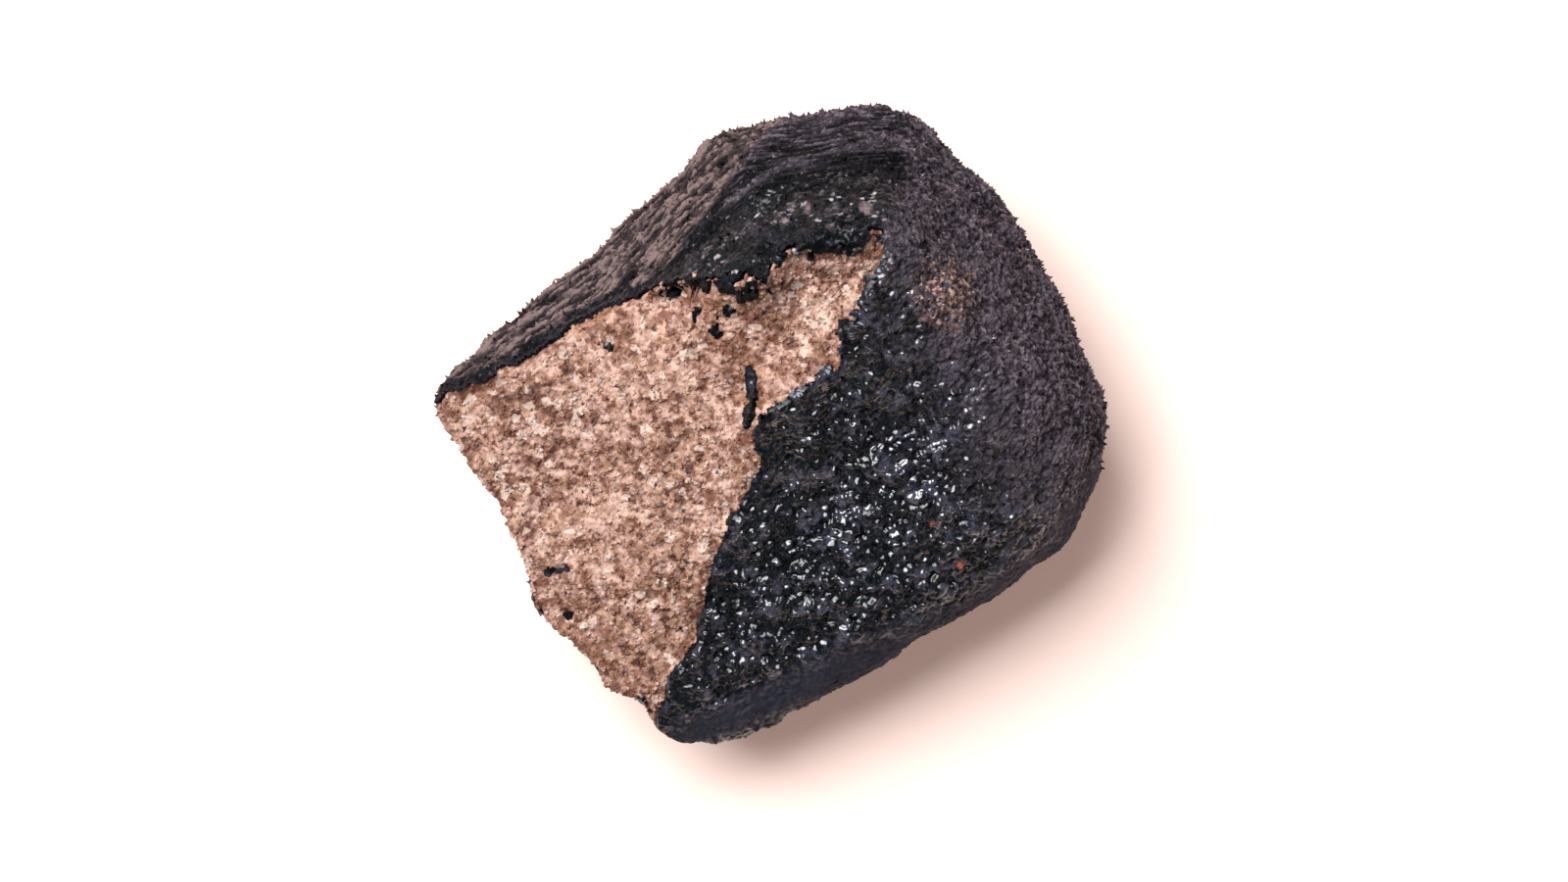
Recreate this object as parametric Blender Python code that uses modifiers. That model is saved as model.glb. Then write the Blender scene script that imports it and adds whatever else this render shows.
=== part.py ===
"""Meteorite fragment: one stone in a black fusion crust, with one pale broken face.

The stone is a single solid. Its form is a handful of worn facets blended into each other, with
shallow thumbprint hollows, flow ridges and blebs on the crust. One cut, whose floor is the rough
broken surface and whose outline is the ragged edge of the crust, takes the missing corner away.

Sizes are in millimetres here and are turned to metres when a mesh is made. The origin is on the
floor under the middle of the stone's plan, +X is its longest extent and +Z is up.
"""

import math

import bmesh
import bpy
import numpy as np
from mathutils import Vector, noise

MM = 0.001

# Facets round the sides: plan direction in degrees, reach of the outline in that direction at its
# widest line, height of the widest line, lean of the face above it and of the face below it. A
# lean of 0 faces straight up, 90 faces outwards and 180 faces down.
SIDES = {
    "upper_left_flank": (131.5, 15.35, 8.0, 55.0, 115.0),
    "top_left_corner": (112.0, 18.9, 9.0, 56.0, 112.0),
    "top_end": (92.0, 19.1, 9.8, 58.0, 112.0),
    "right_shoulder": (52.0, 20.3, 9.6, 58.5, 119.0),
    "right_end": (24.0, 20.0, 8.4, 58.0, 114.0),
    "right_side": (352.0, 20.9, 7.2, 63.0, 118.0),
    "lower_right_side": (325.0, 19.3, 6.4, 67.0, 124.0),
    "front_right_side": (301.0, 16.2, 6.0, 71.0, 121.0),
    "front_toe": (276.0, 20.3, 6.8, 66.0, 120.0),
    "lower_left_side": (214.0, 16.9, 8.6, 62.0, 134.0),
}

# Broad slopes of the upper side: plan direction, lean, and a point that the slope passes through.
SLOPES = {
    "front_slope": (283.0, 29.0, (-4.5, -13.0, 11.4)),
    "right_slope": (335.0, 34.0, (12.0, -2.0, 17.5)),
    "summit": (60.0, 12.0, (6.0, 10.0, 23.6)),
    "left_top": (216.0, 12.0, (-6.0, 2.0, 24.0)),
}

# Belly slopes between the sides and the flat spot: plan direction, distance from the middle at
# which the slope leaves the floor, and its lean.
BELLY = {
    "back": (100.0, 9.5, 150.0),
    "right": (25.0, 10.5, 155.0),
    "front_right": (318.0, 10.0, 151.0),
    "front": (262.0, 9.0, 158.0),
    "left": (190.0, 6.5, 149.0),
}

ROUNDING = 0.8          # how softly neighbouring facets blend into each other
ROUNDING_REACH = 0.8    # share of the rounding that is added to the reach to keep the outline's size

# Hollows: centre, direction of the long axis in degrees, half length, half width, depth. A swell is
# a hollow with a depth below nothing.
HOLLOWS = {
    "front_trough": ((4.0, -4.5, 15.5), 63.0, 11.0, 6.0, 1.2),
    "shoulder_print": ((13.0, 8.5, 16.5), 120.0, 5.0, 3.4, 0.6),
    "right_print": ((15.5, -3.0, 13.5), 80.0, 4.8, 3.2, 0.6),
    "flank_print": ((-10.5, 9.5, 11.0), 41.0, 6.5, 4.2, 0.6),
    "left_swell": ((-14.4, -11.4, 8.2), 304.0, 4.6, 4.0, -1.3),
    "toe_notch": ((-8.9, -17.4, 8.0), 306.0, 2.4, 2.8, 0.8),
    "belly_print": ((9.0, -11.5, 3.0), 30.0, 5.5, 3.5, 0.9),
    "back_print": ((-3.0, 15.5, 4.5), 15.0, 5.0, 3.2, 0.8),
    "end_print": ((18.5, 4.5, 4.5), 100.0, 4.0, 2.6, 0.8),
    "under_left_print": ((-10.5, -3.5, 3.5), 300.0, 6.0, 4.0, 0.8),
}

# The broken face: two cleaved surfaces, each with a point on it, the plan direction in which it
# climbs and its slope in degrees. The lower of the two is the floor of the break.
BREAK_FACES = {
    "main_face": ((-14.0, -10.5, 8.4), 36.0, 25.0),
    "upper_tongue": ((-2.7, 8.3, 18.1), 47.0, 18.0),
}
BREAK_ROUGH = ((1.9, 0.20), (5.0, 0.22))   # size and height of the broken face's roughness
BREAK_SPACING = 0.76    # spacing of the points that carry that roughness
CRUST_LIP = 0.5         # thickness of crust that stands proud along the edge of the break
WALL_BLEND = 2.2        # distance from the edge over which the break drops to a lower floor
RISE_BLEND = 4.5        # the same where the floor inside lies higher than the edge

# The edge of the crust round the break, in plan, from the stone's left tip round the upper side,
# down the lobed right side and past the toe; the last points close the loop clear of the stone.
BREAK_EDGE = [
    (-20.9, 1.0), (-17.4, 2.6), (-14.9, 3.9), (-11.3, 6.0), (-8.2, 7.7), (-5.2, 8.6), (-2.7, 8.3),
    (-0.6, 8.3), (0.9, 10.0), (2.3, 10.5), (5.1, 10.4), (6.8, 11.2), (7.4, 10.0), (6.4, 8.2),
    (4.7, 6.0), (4.0, 3.6), (1.8, 2.1), (-0.2, 0.5), (-1.0, -0.4), (-0.4, -2.1), (-1.2, -4.0),
    (-2.4, -5.8), (-3.0, -8.0), (-2.9, -10.1), (-4.3, -13.2), (-5.8, -15.0), (-6.3, -16.2),
    (-6.9, -18.0), (-8.8, -22.3), (-23.4, -22.3), (-24.7, 0.9),
]
EDGE_STEP = 0.9         # spacing of the points along the ragged edge
EDGE_RAGGED = 0.45      # how far the ragged edge wanders
CLEAR_OF_STONE = 21.5   # the outline's points further out than this only close the loop

# Relief of the crust.
SWELL_SIZE, SWELL_HEIGHT = 7.0, 0.55       # broad uneven swellings
BLEB_SIZE, BLEB_HEIGHT = 3.1, 0.75         # blebs of melt
FLOW_SPACING, FLOW_HEIGHT = 3.1, 0.22      # melt ridges that run along the upper left flank
FLOW_WANDER = 2.4                          # how far those ridges wander
CREST = [(7.3, 19.7), (8.5, 16.1), (9.1, 13.6), (9.7, 11.6), (9.0, 10.6)]   # rim of the crown
CREST_STEP, CREST_WIDTH, CREST_FADE = 0.6, 0.8, 4.5
TOOTH = (7.4, 19.0, 10.5)                  # little drawn-out point of melt on the top end
TOOTH_REACH, TOOTH_SIZE = 1.0, 1.1

HEART = (0.6, -0.4, 9.5)                   # a point well inside, from which the skin is laid out
SKIN_CUTS = 47                             # cuts along each edge of the cube the skin starts from
SKIN_VOXEL = 1.04                          # spacing of the skin's points once it is evened out
CUT_WELD = 0.01                            # slivers shorter than this are closed after the cut
FLAT_PRESS = 0.3                           # skin nearer the floor than this is pressed flat
NOISE_PLACE = Vector((31.7, 12.3, 5.9))    # place in the noise field from which relief is taken

CRUST_COLOUR = (0.022, 0.020, 0.022, 1.0)
STONE_COLOUR = (0.52, 0.40, 0.32, 1.0)


def facing(plan, lean):
    """Unit vector of a face with this plan direction and lean."""
    plan, lean = math.radians(plan), math.radians(lean)
    return np.array([math.cos(plan) * math.sin(lean), math.sin(plan) * math.sin(lean),
                     math.cos(lean)])


def out_from_middle(plan, reach, height):
    """The point this far out from the middle in a plan direction, at a height."""
    return (reach * math.cos(math.radians(plan)), reach * math.sin(math.radians(plan)), height)


def facets():
    """Normals and offsets of every facet of the unbroken stone."""
    faces = [(0.0, 180.0, (0.0, 0.0, 0.0))]
    for plan, reach, height, lean_above, lean_below in SIDES.values():
        widest = out_from_middle(plan, reach + ROUNDING_REACH * ROUNDING, height)
        faces += [(plan, lean_above, widest), (plan, lean_below, widest)]
    faces += SLOPES.values()
    for plan, reach, lean in BELLY.values():
        faces.append((plan, lean, out_from_middle(plan, reach, 0.0)))
    normals = np.array([facing(plan, lean) for plan, lean, _ in faces])
    offsets = np.array([normal @ np.array(face[2]) for normal, face in zip(normals, faces)])
    return normals, offsets


NORMALS, OFFSETS = facets()


def smooth_step(value):
    """0 to 1 with a soft start and end."""
    value = np.clip(value, 0.0, 1.0)
    return value * value * (3.0 - 2.0 * value)


def hollow_depth(points):
    """Depth of the hollows at each point."""
    depth = np.zeros(points.shape[:-1])
    for centre, direction, half_length, half_width, deepest in HOLLOWS.values():
        away = points - np.array(centre)
        along = away @ facing(direction, 90.0)
        across = (away ** 2).sum(axis=-1) - along ** 2
        depth += deepest * np.exp(-2.0 * (along ** 2 / half_length ** 2 + across / half_width ** 2))
    return depth


def form(points):
    """How far points are outside the unbroken stone, negative inside it."""
    outside = points @ NORMALS.T - OFFSETS
    most = outside.max(axis=-1)
    blend = np.exp((outside - most[..., None]) / ROUNDING).sum(axis=-1)
    return most + ROUNDING * np.log(blend) + hollow_depth(points)


def skin_from(start, directions, far=40.0, rounds=36):
    """Where rays from the start points leave the unbroken stone."""
    near = np.zeros(len(directions))
    beyond = np.full(len(directions), far)
    for _ in range(rounds):
        middle = (near + beyond) / 2.0
        inside = form(start + directions * middle[:, None]) < 0.0
        near = np.where(inside, middle, near)
        beyond = np.where(inside, beyond, middle)
    return start + directions * near[:, None]


def outward(points, step=0.05):
    """Unit normals of the unbroken stone at points on its skin."""
    slopes = [form(points + step * axis) - form(points - step * axis) for axis in np.eye(3)]
    normals = np.stack(slopes, axis=-1)
    return normals / np.linalg.norm(normals, axis=-1, keepdims=True)


def noise_at(point, size):
    """Smooth noise between about -1 and 1 whose features are about this size."""
    return noise.noise(Vector(point) / size + NOISE_PLACE)


def nearest_on(line, x, y):
    """Distance from a plan point to a line of points, positive on its right."""
    best, side = math.inf, 1.0
    for (ax, ay), (bx, by) in zip(line, line[1:]):
        dx, dy = bx - ax, by - ay
        share = min(max(((x - ax) * dx + (y - ay) * dy) / (dx * dx + dy * dy), 0.0), 1.0)
        away = math.hypot(x - ax - share * dx, y - ay - share * dy)
        if away < best:
            best, side = away, math.copysign(1.0, dy * (x - ax) - dx * (y - ay))
    return side * best


def crest_drop(x, y):
    """Drop of the crust beyond the crown's crest, fading out further away."""
    beyond = -nearest_on(CREST, x, y)
    drop = 0.5 + 0.5 * math.tanh(beyond / CREST_WIDTH)
    return CREST_STEP * drop * math.exp(-(beyond / CREST_FADE) ** 2)


def flow_ridges(point, normal):
    """Melt ridges along the upper left flank, fading out where the skin turns away from it."""
    plan, _, _, lean, _ = SIDES["upper_left_flank"]
    on_flank = smooth_step((float(normal @ facing(plan, lean)) - 0.75) / 0.2)
    up_the_flank = float(np.array(point) @ facing(plan + 180.0, 90.0 - lean))
    up_the_flank += FLOW_WANDER * noise_at(point, 8.0)
    strength = 0.6 + 1.2 * noise_at(point, 5.0)
    return strength * on_flank * FLOW_HEIGHT * math.sin(2.0 * math.pi * up_the_flank / FLOW_SPACING)


def relief(point, normal):
    """Height of the crust's relief over the smooth form at one point of the skin."""
    height = SWELL_HEIGHT * noise_at(point, SWELL_SIZE)
    height += BLEB_HEIGHT * (abs(noise_at(point, BLEB_SIZE)) - 0.2)
    height += flow_ridges(point, normal)
    if normal[2] > 0.0:
        height -= crest_drop(point[0], point[1]) * normal[2]
    tooth = math.dist(point, TOOTH) / TOOTH_SIZE
    return height + TOOTH_REACH * math.exp(-tooth * tooth)


def ragged(outline):
    """The outline with points added along it, each moved a little by noise."""
    points = []
    for (ax, ay), (bx, by) in zip(outline, outline[1:] + outline[:1]):
        pieces = max(1, round(math.hypot(bx - ax, by - ay) / EDGE_STEP))
        if max(abs(ax), abs(ay), abs(bx), abs(by)) > CLEAR_OF_STONE:
            pieces = 1
        for step in range(pieces):
            x, y = ax + (bx - ax) * step / pieces, ay + (by - ay) * step / pieces
            points.append((x + EDGE_RAGGED * noise_at((x, y, 0.0), 1.1),
                           y + EDGE_RAGGED * noise_at((x, y, 7.0), 1.1)))
    return points


def from_edge(x, y, outline):
    """Distance inside the outline at each plan point, and the nearest point of the outline."""
    best = np.full(x.shape, math.inf)
    near_x, near_y = np.zeros_like(x), np.zeros_like(y)
    inside = np.zeros(x.shape, dtype=bool)
    for (ax, ay), (bx, by) in zip(outline, outline[1:] + outline[:1]):
        dx, dy = bx - ax, by - ay
        share = np.clip(((x - ax) * dx + (y - ay) * dy) / (dx * dx + dy * dy), 0.0, 1.0)
        edge_x, edge_y = ax + share * dx, ay + share * dy
        away = np.hypot(x - edge_x, y - edge_y)
        near_x, near_y = np.where(away < best, edge_x, near_x), np.where(away < best, edge_y, near_y)
        best = np.minimum(best, away)
        if ay != by:
            inside ^= ((ay > y) != (by > y)) & (x < ax + dx * (y - ay) / dy)
    return np.where(inside, best, -best), near_x, near_y


def crust_height(x, y):
    """Height of the unbroken stone's upper side at each plan point."""
    start = np.stack([x, y, np.full_like(x, HEART[2])], axis=-1)
    return skin_from(start, np.tile((0.0, 0.0, 1.0), (len(x), 1)))[:, 2]


def cleaved_height(x, y):
    """Height of the cleaved surfaces at each plan point."""
    height = np.full_like(x, math.inf)
    for (px, py, pz), climbs, slope in BREAK_FACES.values():
        along = (x - px) * math.cos(math.radians(climbs)) + (y - py) * math.sin(math.radians(climbs))
        height = np.minimum(height, pz + along * math.tan(math.radians(slope)))
    return height


def break_floor(x, y):
    """Height of the broken face: just under the crust along its edge, cleaved further in."""
    depth, edge_x, edge_y = from_edge(x, y, BREAK_EDGE)
    at_edge = crust_height(edge_x, edge_y)
    on_stone = at_edge > HEART[2] + 0.01
    mismatch = np.where(on_stone, at_edge - CRUST_LIP - cleaved_height(edge_x, edge_y), 0.0)
    blend = np.where(mismatch > 0.0, WALL_BLEND, RISE_BLEND)
    return cleaved_height(x, y) + mismatch * (1.0 - smooth_step(depth / blend))


def add_object(name, shape, collection, material):
    """Turn a bmesh in millimetres into a named object of flat triangles in metres."""
    bmesh.ops.triangulate(shape, faces=shape.faces[:])
    bmesh.ops.scale(shape, vec=(MM, MM, MM), verts=shape.verts)
    mesh = bpy.data.meshes.new(name)
    shape.to_mesh(mesh)
    shape.free()
    mesh.materials.append(material)
    thing = bpy.data.objects.new(name, mesh)
    collection.objects.link(thing)
    return thing


def smooth_skin():
    """Even mesh of the unbroken stone: a divided cube pushed out to the form, then remeshed."""
    shape = bmesh.new()
    bmesh.ops.create_cube(shape, size=2.0)
    bmesh.ops.subdivide_edges(shape, edges=shape.edges[:], cuts=SKIN_CUTS, use_grid_fill=True)
    rays = np.array([vert.co for vert in shape.verts])
    rays /= np.linalg.norm(rays, axis=1, keepdims=True)
    for vert, point in zip(shape.verts, skin_from(np.array(HEART), rays)):
        vert.co = point
    mesh = bpy.data.meshes.new("laid_out_skin")
    shape.to_mesh(mesh)
    shape.free()
    thing = bpy.data.objects.new("laid_out_skin", mesh)
    bpy.context.scene.collection.objects.link(thing)
    remesh = thing.modifiers.new("even", "REMESH")
    remesh.mode = "VOXEL"
    remesh.voxel_size = SKIN_VOXEL
    evaluated = thing.evaluated_get(bpy.context.evaluated_depsgraph_get())
    even = bpy.data.meshes.new_from_object(evaluated)
    bpy.data.objects.remove(thing)
    return even


def make_stone(collection, material):
    """The unbroken stone with the crust's relief and a small flat spot underneath."""
    even = smooth_skin()
    shape = bmesh.new()
    shape.from_mesh(even)
    bpy.data.meshes.remove(even)
    laid = np.array([vert.co for vert in shape.verts])
    inwards = -outward(laid)
    skin = skin_from(laid + 2.0 * inwards, -inwards, far=4.0)
    for vert, point, normal in zip(shape.verts, skin, outward(skin)):
        off_floor = float(smooth_step(point[2] / 2.5))
        moved = point + normal * relief(point, normal) * off_floor
        if moved[2] < FLAT_PRESS:
            moved[2] = 0.0
        vert.co = moved
    return add_object("meteorite", shape, collection, material)


def make_break_block(collection, material):
    """A block over the broken corner whose underside is the rough broken surface."""
    (low_x, low_y), (high_x, high_y) = (-23.8, -21.5), (8.8, 12.6)
    columns = round((high_x - low_x) / BREAK_SPACING)
    rows = round((high_y - low_y) / BREAK_SPACING)
    shape = bmesh.new()
    bmesh.ops.create_grid(shape, x_segments=columns, y_segments=rows, size=0.5)
    spots = np.array([vert.co[:2] for vert in shape.verts]) + 0.5
    x = low_x + spots[:, 0] * (high_x - low_x)
    y = low_y + spots[:, 1] * (high_y - low_y)
    for vert, px, py, pz in zip(shape.verts, x, y, break_floor(x, y)):
        rough = sum(height * 2.0 * noise_at((px, py, pz), size) for size, height in BREAK_ROUGH)
        vert.co = (px, py, pz + rough)
    top = bmesh.ops.extrude_face_region(shape, geom=shape.faces[:])
    for item in top["geom"]:
        if isinstance(item, bmesh.types.BMVert):
            item.co.z = 40.0
    bmesh.ops.recalc_face_normals(shape, faces=shape.faces[:])
    return add_object("break_block", shape, collection, material)


def make_edge_prism(collection, material):
    """An upright prism whose plan is the ragged edge of the crust."""
    shape = bmesh.new()
    foot = shape.faces.new([shape.verts.new((x, y, -5.0)) for x, y in ragged(BREAK_EDGE)])
    top = bmesh.ops.extrude_face_region(shape, geom=[foot])
    for item in top["geom"]:
        if isinstance(item, bmesh.types.BMVert):
            item.co.z = 35.0
    bmesh.ops.recalc_face_normals(shape, faces=shape.faces[:])
    return add_object("break_edge", shape, collection, material)


def make_material(name, colour, roughness):
    """A plain Principled material."""
    material = bpy.data.materials.new(name)
    material.use_nodes = True
    shader = material.node_tree.nodes["Principled BSDF"]
    shader.inputs["Base Color"].default_value = colour
    shader.inputs["Roughness"].default_value = roughness
    shader.inputs["Metallic"].default_value = 0.0
    return material


def hide_cutter(cutter):
    """Show a cutter as wire only."""
    cutter.hide_render = True
    cutter.display_type = "WIRE"


def add_boolean(thing, name, operation, other):
    """Add an exact Boolean modifier that keeps the other object's material on its faces."""
    modifier = thing.modifiers.new(name, "BOOLEAN")
    modifier.operation = operation
    modifier.solver = "EXACT"
    modifier.object = other
    modifier.material_mode = "TRANSFER"


def main():
    """Clear the scene and build the stone with its broken corner."""
    for thing in list(bpy.data.objects):
        bpy.data.objects.remove(thing)
    parts = bpy.data.collections.new("meteorite_fragment")
    cutters = bpy.data.collections.new("cutters")
    for collection in (parts, cutters):
        bpy.context.scene.collection.children.link(collection)
    crust = make_material("fusion_crust", CRUST_COLOUR, 0.38)
    stone = make_material("broken_stone", STONE_COLOUR, 0.85)
    meteorite = make_stone(parts, crust)
    block = make_break_block(cutters, stone)
    edge = make_edge_prism(cutters, stone)
    add_boolean(block, "inside_the_edge", "INTERSECT", edge)
    add_boolean(meteorite, "broken_corner", "DIFFERENCE", block)
    weld = meteorite.modifiers.new("close_slivers", "WELD")
    weld.merge_threshold = CUT_WELD * MM
    meteorite.modifiers.new("facets", "TRIANGULATE")
    hide_cutter(block)
    hide_cutter(edge)


main()
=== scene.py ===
import logging
import math
from collections.abc import Callable
from dataclasses import dataclass, field
from enum import Enum
from typing import Any

import bpy
import numpy as np
from bpy.types import Material, Mesh, NodeSocket, NodeTree, Object
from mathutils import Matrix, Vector, noise


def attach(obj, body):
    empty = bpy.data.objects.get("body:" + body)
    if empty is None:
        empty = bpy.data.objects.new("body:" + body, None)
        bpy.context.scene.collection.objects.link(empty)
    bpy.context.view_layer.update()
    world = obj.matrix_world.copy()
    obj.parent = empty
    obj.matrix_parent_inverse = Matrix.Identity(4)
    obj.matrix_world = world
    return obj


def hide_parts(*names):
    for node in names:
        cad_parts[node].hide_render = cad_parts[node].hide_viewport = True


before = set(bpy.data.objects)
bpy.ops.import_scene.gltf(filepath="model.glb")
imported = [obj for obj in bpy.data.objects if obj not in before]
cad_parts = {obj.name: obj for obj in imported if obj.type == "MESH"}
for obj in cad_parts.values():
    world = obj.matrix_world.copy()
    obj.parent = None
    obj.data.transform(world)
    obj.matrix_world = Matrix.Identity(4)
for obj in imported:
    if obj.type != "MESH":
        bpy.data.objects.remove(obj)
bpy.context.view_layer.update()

log = logging.getLogger("meteorite")

# The stone is held in metres, and its patterns are written in millimetres.
MM = 0.001
STONE = "meteorite"
BODY = "root"
OUTWARD = "outward"

# The edge between the fusion crust and the freshly broken stone, seen from above, in mm.
BREAK_EDGE = (
    (-20.9, 1.0), (-17.4, 2.6), (-14.9, 3.9), (-11.3, 6.4), (-8.2, 7.9), (-5.2, 8.6),
    (-2.7, 8.2), (-0.4, 8.5), (0.9, 10.1), (2.3, 10.4), (5.1, 10.4), (6.6, 11.7),
    (7.0, 10.0), (5.6, 8.4), (4.7, 6.0), (4.0, 3.6), (1.8, 2.1), (-0.2, 0.5),
    (-1.0, -0.4), (-0.4, -2.1), (-1.2, -4.0), (-2.4, -5.8), (-3.2, -8.0), (-3.8, -9.9),
    (-4.4, -13.2), (-5.8, -15.0), (-6.3, -16.2), (-6.9, -18.0), (-8.8, -22.3),
    (-23.4, -22.3), (-24.7, 0.9),
)
# The long upper-left side of the stone, from the left tip to the tooth at the top.
FLANK_LINE = ((-20.9, 1.9), (-4.9, 16.7), (-2.7, 18.2), (4.0, 19.4), (7.3, 19.7), (16.0, 20.6))
# The smooth rolled side at the lower right.
ROLLED_LINE = ((-6.9, -19.4), (2.6, -15.9), (11.0, -12.6), (18.2, -7.8), (20.4, -4.0))


@dataclass(frozen=True)
class Divide:
    """A straight divide seen from above: a point on it, in mm, and the direction that leads past it."""

    x: float
    y: float
    right: float
    up: float

    def past(self, x: np.ndarray, y: np.ndarray) -> np.ndarray:
        """How far places are past the divide, in mm."""
        return (x - self.x) * self.right + (y - self.y) * self.up


# Past these lie the upper-left flank, the glassy front, and the clean crown beyond the flank's dusted brown,
# which is partly a painted sheen.
TO_FLANK = Divide(0.0, 0.0, -0.66, 0.75)
TO_FRONT = Divide(5.8, 6.3, -0.833, -0.553)
TO_CROWN = Divide(-5.2, 10.9, 0.791, -0.611)


class Trait(Enum):
    """What is known at each point of the skin, and the name of the attribute that holds it."""

    EDGE = "edge"
    LIP = "lip"
    FLOW = "flow"
    FALL = "fall"
    RUN = "run"
    FRONT = "front"
    CROWN = "crown"
    FLANK = "flank"
    ROLLED = "rolled"
    WORN = "worn"
    DEEP = "deep"
    INNER = "inner"
    LIFT = "lift"


class Slot(Enum):
    """The material slots of the record."""

    CRUST = "fusion_crust"
    BREAK = "broken_stone"


def linear(*levels: int) -> tuple[float, ...]:
    """Turn a screen colour of three levels, 0 to 255, into a shader's linear colour."""
    shares = [level / 255 for level in levels]
    return (*(s / 12.92 if s <= 0.04045 else ((s + 0.055) / 1.055) ** 2.4 for s in shares), 1.0)


def rise(value: np.ndarray, low: float, high: float) -> np.ndarray:
    """Rise smoothly from 0 at low to 1 at high."""
    share = np.clip((value - low) / (high - low), 0.0, 1.0)
    return share * share * (3.0 - 2.0 * share)


def bell(value: np.ndarray, middle: float, width: float) -> np.ndarray:
    """1 at the middle, and falling away to both sides."""
    return np.exp(-(((value - middle) / width) ** 2))


def arithmetic(operation: str, swapped: bool = False) -> Callable[..., "Value"]:
    """Make a method of Value that adds one Math node on it and another term."""
    def method(self: "Value", other: "Value | float") -> "Value":
        """Add the node."""
        terms = {0: other, 1: self} if swapped else {0: self, 1: other}
        return self.graph.node("ShaderNodeMath", terms, operation=operation)
    return method


@dataclass(frozen=True)
class Value:
    """One socket of a node tree, on which arithmetic adds Math nodes."""

    graph: "Graph"
    socket: NodeSocket

    __add__, __radd__ = arithmetic("ADD"), arithmetic("ADD", swapped=True)
    __sub__, __rsub__ = arithmetic("SUBTRACT"), arithmetic("SUBTRACT", swapped=True)
    __mul__, __rmul__ = arithmetic("MULTIPLY"), arithmetic("MULTIPLY", swapped=True)
    at_least, at_most = arithmetic("MAXIMUM"), arithmetic("MINIMUM")

    def rise(self, low: float, high: float) -> "Value":
        """Rise smoothly from 0 where the value is low to 1 where it is high."""
        return self.graph.node(
            "ShaderNodeMapRange", {"Value": self, "From Min": low, "From Max": high},
            interpolation_type="SMOOTHSTEP")


@dataclass(frozen=True)
class Graph:
    """A node tree that is filled by expressions."""

    tree: NodeTree
    noise_roughness: float = 0.55

    def node(
        self, kind: str, inputs: dict[str | int, Any] | None = None, output: str | int = 0, **settings: Any,
    ) -> Value:
        """Add one node.

        Args:
            kind: The node's type.
            inputs: The value or link of each input socket, by name or number.
            output: The name or number of the output that is wanted.
            settings: Its properties, which are set first.

        Returns:
            That output.
        """
        node = self.tree.nodes.new(kind)
        for name, value in settings.items():
            setattr(node, name, value)
        for key, value in (inputs or {}).items():
            self.feed(self.pick(node.inputs, key), value)
        return Value(self, self.pick(node.outputs, output))

    @staticmethod
    def pick(sockets: Any, key: str | int) -> NodeSocket:
        """Find a socket in use by its name, or any socket by its number."""
        if isinstance(key, int):
            return sockets[key]
        return next(s for s in sockets if s.name == key and s.enabled)

    def feed(self, socket: NodeSocket, value: Any) -> None:
        """Link a socket to a value, or set its number or its screen colour."""
        if isinstance(value, Value):
            self.tree.links.new(value.socket, socket)
        else:
            screen = socket.type == "RGBA" and len(value) == 3
            socket.default_value = linear(*value) if screen else value

    def end(self, kind: str, label: str, value: Value) -> None:
        """Add the tree's output node, and link a value to it."""
        self.feed(self.tree.nodes.new(kind).inputs[label], value)

    def vector(self, operation: str, *terms: Any, scale: Any = None) -> Value:
        """Add one Vector Math node."""
        inputs = dict(enumerate(terms))
        if scale is not None:
            inputs["Scale"] = scale
        output = "Value" if operation == "DISTANCE" else "Vector"
        return self.node("ShaderNodeVectorMath", inputs, output, operation=operation)

    def point(self, x: Any, y: Any, z: Any = 0.0) -> Value:
        """Join three values into a vector."""
        return self.node("ShaderNodeCombineXYZ", {0: x, 1: y, 2: z})

    def axis(self, at: Value, name: str) -> Value:
        """The X, Y or Z of a vector."""
        return self.node("ShaderNodeSeparateXYZ", {"Vector": at}, name)

    def channel(self, colour: Value, name: str) -> Value:
        """The Red, Green or Blue of a colour."""
        family = "FunctionNode" if self.tree.type == "GEOMETRY" else "ShaderNode"
        return self.node(family + "SeparateColor", {"Color": colour}, name)

    def noise(self, at: Value, size: float, detail: float = 2.0, output: str | int = 0) -> Value:
        """Soft noise whose lumps are about this size in mm."""
        sizes = {"Vector": at, "Scale": 1.0 / size, "Detail": detail, "Roughness": self.noise_roughness}
        return self.node("ShaderNodeTexNoise", sizes, output)

    def cells(self, at: Value, size: float, output: str = "Distance") -> Value:
        """Cells of about this size in mm."""
        return self.node("ShaderNodeTexVoronoi", {"Vector": at, "Scale": 1.0 / size}, output)

    def bead(self, at: Value, size: float, tightness: float = 1.35) -> Value:
        """Round beads of about this size in mm, 1 at the top of each and 0 between them."""
        reach = self.cells(at, size) * tightness
        return (1.0 - reach * reach).at_least(0.0)

    def shifted(self, at: Value, size: float, amount: float) -> Value:
        """The place moved about by soft noise, so that a pattern has no straight lines."""
        push = self.vector("SUBTRACT", self.noise(at, size, 1.0, "Color"), (0.5, 0.5, 0.5))
        return self.vector("ADD", at, self.vector("SCALE", push, scale=2.0 * amount))

    def aside(self, at: Value, x: float, y: float) -> Value:
        """How far a place is from a point, seen from above."""
        level = self.vector("MULTIPLY", at, (1.0, 1.0, 0.0))
        return self.vector("DISTANCE", level, (x, y, 0.0))

    def mix(self, share: Any, first: Any, second: Any, blend: str = "MIX") -> Value:
        """Mix two colours."""
        inputs = {"Factor": share, "A": first, "B": second}
        return self.node("ShaderNodeMix", inputs, "Result", data_type="RGBA", blend_type=blend)

    def layered(self, base: Value, *layers: tuple[Value, tuple]) -> Value:
        """Lay screen colours over a base, each by its share."""
        for share, shade in layers:
            base = self.mix(share, base, shade)
        return base


def read(items: bpy.types.bpy_prop_collection, key: str, kind: type, width: int = 1) -> np.ndarray:
    """Read one property of all the items of a mesh."""
    values = np.empty(len(items) * width, kind)
    items.foreach_get(key, values)
    return values


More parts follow.
